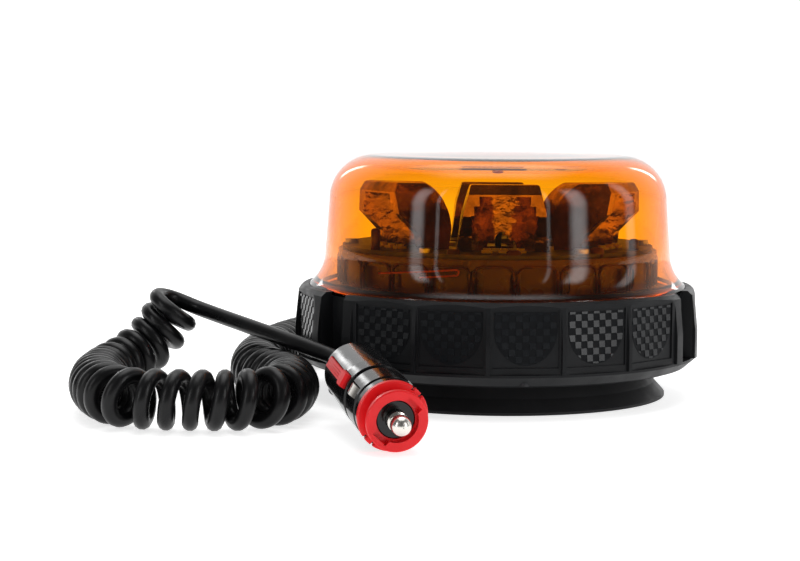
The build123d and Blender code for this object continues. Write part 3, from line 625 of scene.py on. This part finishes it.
def helix(axis_line, end_tangent):
    """Left-handed turns about a line, open where the line bends. The last one ends along end_tangent."""
    line, step = resample(axis_line, AXIS_STEP)
    count = len(line)
    tangents = [(line[min(count - 1, i + 1)] - line[max(0, i - 1)]).normalized() for i in range(count)]
    across = [tangents[0].orthogonal().normalized()]
    for after in tangents[1:]:
        turned = across[-1] - after * across[-1].dot(after)
        across.append(turned.normalized())
    reach = int(BEND_REACH / step)
    pitches = []
    for i in range(count):
        a, b = tangents[max(0, i - reach)], tangents[min(count - 1, i + reach)]
        span = (min(count - 1, i + reach) - max(0, i - reach)) * step
        bend = a.angle(b, 0) / span
        opened = TIGHT_PITCH / max(0.55, 1 - TURN_RADIUS * bend)
        # the run in front is stretched most at its middle
        front = 0.0
        if line[i].y < FRONT_Y:
            front = max(0.0, 1 - ((line[i].x - FRONT_X) / FRONT_HALF) ** 2)
        stretched = TIGHT_PITCH + FRONT_STRETCH * front
        loose = (0.15 + 0.5 * front) * MM * noise.noise(Vector((i * step * 55, 3.7, 0.5)))
        pitches.append(max(opened, stretched) + loose)
    # phase along the line, worked out backward from the end
    side = end_tangent - tangents[-1] * end_tangent.dot(tangents[-1])
    out = tangents[-1].cross(side.normalized())
    binormal = tangents[-1].cross(across[-1])
    phase = [0.0] * count
    phase[-1] = atan2(out.dot(binormal), out.dot(across[-1]))
    for i in range(count - 1, 0, -1):
        ease = 1.0
        from_start = i * step
        if from_start < START_RUN:
            ease = 1 + START_OPEN * (1 - from_start / START_RUN)
        phase[i - 1] = phase[i] + 2 * pi * step / (pitches[i] * ease)
    places = []
    turn_step = 2 * pi / PER_TURN
    target = phase[0]
    i = 0
    while target >= phase[-1]:
        while i < count - 2 and phase[i + 1] > target:
            i += 1
        share = (phase[i] - target) / max(1e-12, phase[i] - phase[i + 1])
        share = min(1.0, max(0.0, share))
        centre = line[i].lerp(line[i + 1], share)
        t = tangents[i].lerp(tangents[i + 1], share).normalized()
        a = across[i].lerp(across[i + 1], share).normalized()
        b = t.cross(a)
        wound = (phase[0] - target) / (2 * pi)
        ring = OVERSHOOT * TURN_RADIUS * (1 + 0.012 * noise.noise(Vector((wound * 1.7, 9.1, 2.2))))
        places.append(centre + (a * cos(target) + b * sin(target)) * ring)
        target -= turn_step
    return places


GLAND_ANGLE = 188
gland_out = around(1, GLAND_ANGLE)
GLAND_TIP = around(75 * MM, GLAND_ANGLE, 22 * MM)
lead_points = [GLAND_TIP - gland_out * 11 * MM, GLAND_TIP, Vector((-13.5, 98, 19.5)) * MM,
               Vector((-36, 106, 11.5)) * MM]
tail_corner = PLUG_NOSE + PLUG_BACK * 77 * MM
plug_entry = PLUG_NOSE + PLUG_BACK * 68 * MM
coil_end = coil_line[-1]
turns = helix(coil_line, (tail_corner - coil_end).normalized())


def turning(k):
    """How far the cord would turn on joining the coil at its k-th point."""
    return (turns[k + 1] - turns[k]).angle(turns[k] - lead_points[-1])


# the lead joins the first turn where it runs on most smoothly
turns = turns[min(range(PER_TURN), key=turning):]
tail_start = turns[-1] + (turns[-1] - turns[-2]).normalized() * 6 * MM
tail_points = [tail_start, tail_start.lerp(tail_corner, 0.45), tail_corner, plug_entry,
               plug_entry - PLUG_BACK * 7 * MM]
cord_places = lead_points + turns + tail_points
cord = spline_curve("curly_cord", cord_places, 3)
cord.data.bevel_depth = CORD_RADIUS
cord.data.bevel_resolution = 4
cord.data.use_fill_caps = True
cord.data.materials.append(cord_jacket)
centre_line = curve_points("cord_measure", cord_places)
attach(cord, "root")
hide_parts("cord_coil", "cord_lead", "cord_tail")

# ---------------------------------------------------------------- stage, light and camera
floor_material = bpy.data.materials.new("floor")
floor_material.use_nodes = True
floor_shader = floor_material.node_tree.nodes["Principled BSDF"]
floor_shader.inputs["Base Color"].default_value = (0.78, 0.78, 0.78, 1)
floor_shader.inputs["Roughness"].default_value = 0.7
floor_shader.inputs["Specular IOR Level"].default_value = 0.1
floor_shader.inputs["Emission Color"].default_value = (1, 1, 1, 1)
floor_shader.inputs["Emission Strength"].default_value = 0.72
bm = bmesh.new()
bmesh.ops.create_grid(bm, x_segments=1, y_segments=1, size=6)
floor_mesh = bpy.data.meshes.new("floor")
bm.to_mesh(floor_mesh)
bm.free()
floor = bpy.data.objects.new("floor", floor_mesh)
floor_mesh.materials.append(floor_material)
scene.collection.objects.link(floor)
floor.location.z = -0.0002

world = bpy.data.worlds.new("studio")
world.use_nodes = True
scene.world = world
sky = world.node_tree
background = sky.nodes["Background"]
direction = sky.nodes.new("ShaderNodeTexCoord")
split = sky.nodes.new("ShaderNodeSeparateXYZ")
shade = sky.nodes.new("ShaderNodeMapRange")
shade.interpolation_type = "SMOOTHSTEP"
shade.inputs["From Min"].default_value = 0.1
shade.inputs["From Max"].default_value = 0.85
shade.inputs["To Min"].default_value = 0.12
shade.inputs["To Max"].default_value = 1.1
sky.links.new(direction.outputs["Generated"], split.inputs["Vector"])
sky.links.new(split.outputs["Y"], shade.inputs["Value"])
seen = sky.nodes.new("ShaderNodeLightPath")
choose = sky.nodes.new("ShaderNodeMix")
choose.inputs["B"].default_value = 1.05
sky.links.new(seen.outputs["Is Camera Ray"], choose.inputs["Factor"])
sky.links.new(shade.outputs["Result"], choose.inputs["A"])
sky.links.new(choose.outputs["Result"], background.inputs["Strength"])
background.inputs["Color"].default_value = (1, 1, 1, 1)


def softbox(name, angle, distance, height, width, tall, power, aim=0.04):
    """An area light at an angle from the front, aimed at the object, that fades towards its edges."""
    data = bpy.data.lights.new(name, "AREA")
    data.shape = "RECTANGLE"
    data.size = width
    data.size_y = tall
    data.energy = power
    data.use_nodes = True
    nodes, links = data.node_tree.nodes, data.node_tree.links
    place = nodes.new("ShaderNodeNewGeometry")
    axes = nodes.new("ShaderNodeSeparateXYZ")
    links.new(place.outputs["Parametric"], axes.inputs["Vector"])
    fades = []
    for axis, edge in (("X", 0.38), ("Y", 0.3)):
        centred = nodes.new("ShaderNodeMath")
        centred.operation = "PINGPONG"
        centred.inputs[1].default_value = 0.5
        links.new(axes.outputs[axis], centred.inputs[0])
        fade = nodes.new("ShaderNodeMapRange")
        fade.interpolation_type = "SMOOTHSTEP"
        fade.inputs["From Max"].default_value = edge
        links.new(centred.outputs[0], fade.inputs["Value"])
        fades.append(fade.outputs["Result"])
    both = nodes.new("ShaderNodeMath")
    both.operation = "MULTIPLY"
    links.new(fades[0], both.inputs[0])
    links.new(fades[1], both.inputs[1])
    links.new(both.outputs[0], nodes["Emission"].inputs["Strength"])
    light = bpy.data.objects.new(name, data)
    light.location = around(distance, angle, height)
    light.rotation_euler = (Vector((0, 0, aim)) - light.location).to_track_quat("-Z", "Y").to_euler()
    light.visible_camera = False
    light.visible_transmission = False
    scene.collection.objects.link(light)
    return light


softbox("left_strip", -53, 1.25, 0.45, 0.3, 1.2, 6)
softbox("left_slit", -39, 1.25, 0.45, 0.09, 1.2, 0.9)
softbox("right_strip", 54, 1.25, 0.45, 0.4, 1.2, 9)
softbox("right_slit", 33, 1.25, 0.45, 0.09, 1.2, 0.8)
softbox("right_side", 97, 1.25, 0.45, 0.3, 1.2, 3)
softbox("left_rim", -150, 1.4, 0.6, 0.16, 0.6, 1.5)
softbox("right_rim", 150, 1.4, 0.6, 0.16, 0.6, 2.2)
softbox("overhead", 180, 0.25, 1.5, 1.8, 1.8, 30)

YAW, PITCH, ROLL = -0.0459706, 0.0920633, 0.0060958      # radians: towards +X, downward, right side up
CAMERA_PLACE = (0, -0.732, 0.10576)
SENSOR = 36
FOCAL_PIXELS, PICTURE_WIDTH = 2111.4, 800
forward = Vector((cos(PITCH) * sin(YAW), cos(PITCH) * cos(YAW), -sin(PITCH)))
level_right = Vector((cos(YAW), -sin(YAW), 0))
level_up = level_right.cross(forward)
right = level_right * cos(ROLL) + level_up * sin(ROLL)
up = level_up * cos(ROLL) - level_right * sin(ROLL)
camera = bpy.data.objects.new("camera", bpy.data.cameras.new("camera"))
camera.data.sensor_width = SENSOR
camera.data.lens = SENSOR * FOCAL_PIXELS / PICTURE_WIDTH
camera.data.clip_start = 0.01
pose = Matrix((right, up, -forward)).transposed().to_4x4()
pose.translation = CAMERA_PLACE
camera.matrix_world = pose
scene.collection.objects.link(camera)
scene.camera = camera
scene.view_settings.view_transform = "Standard"
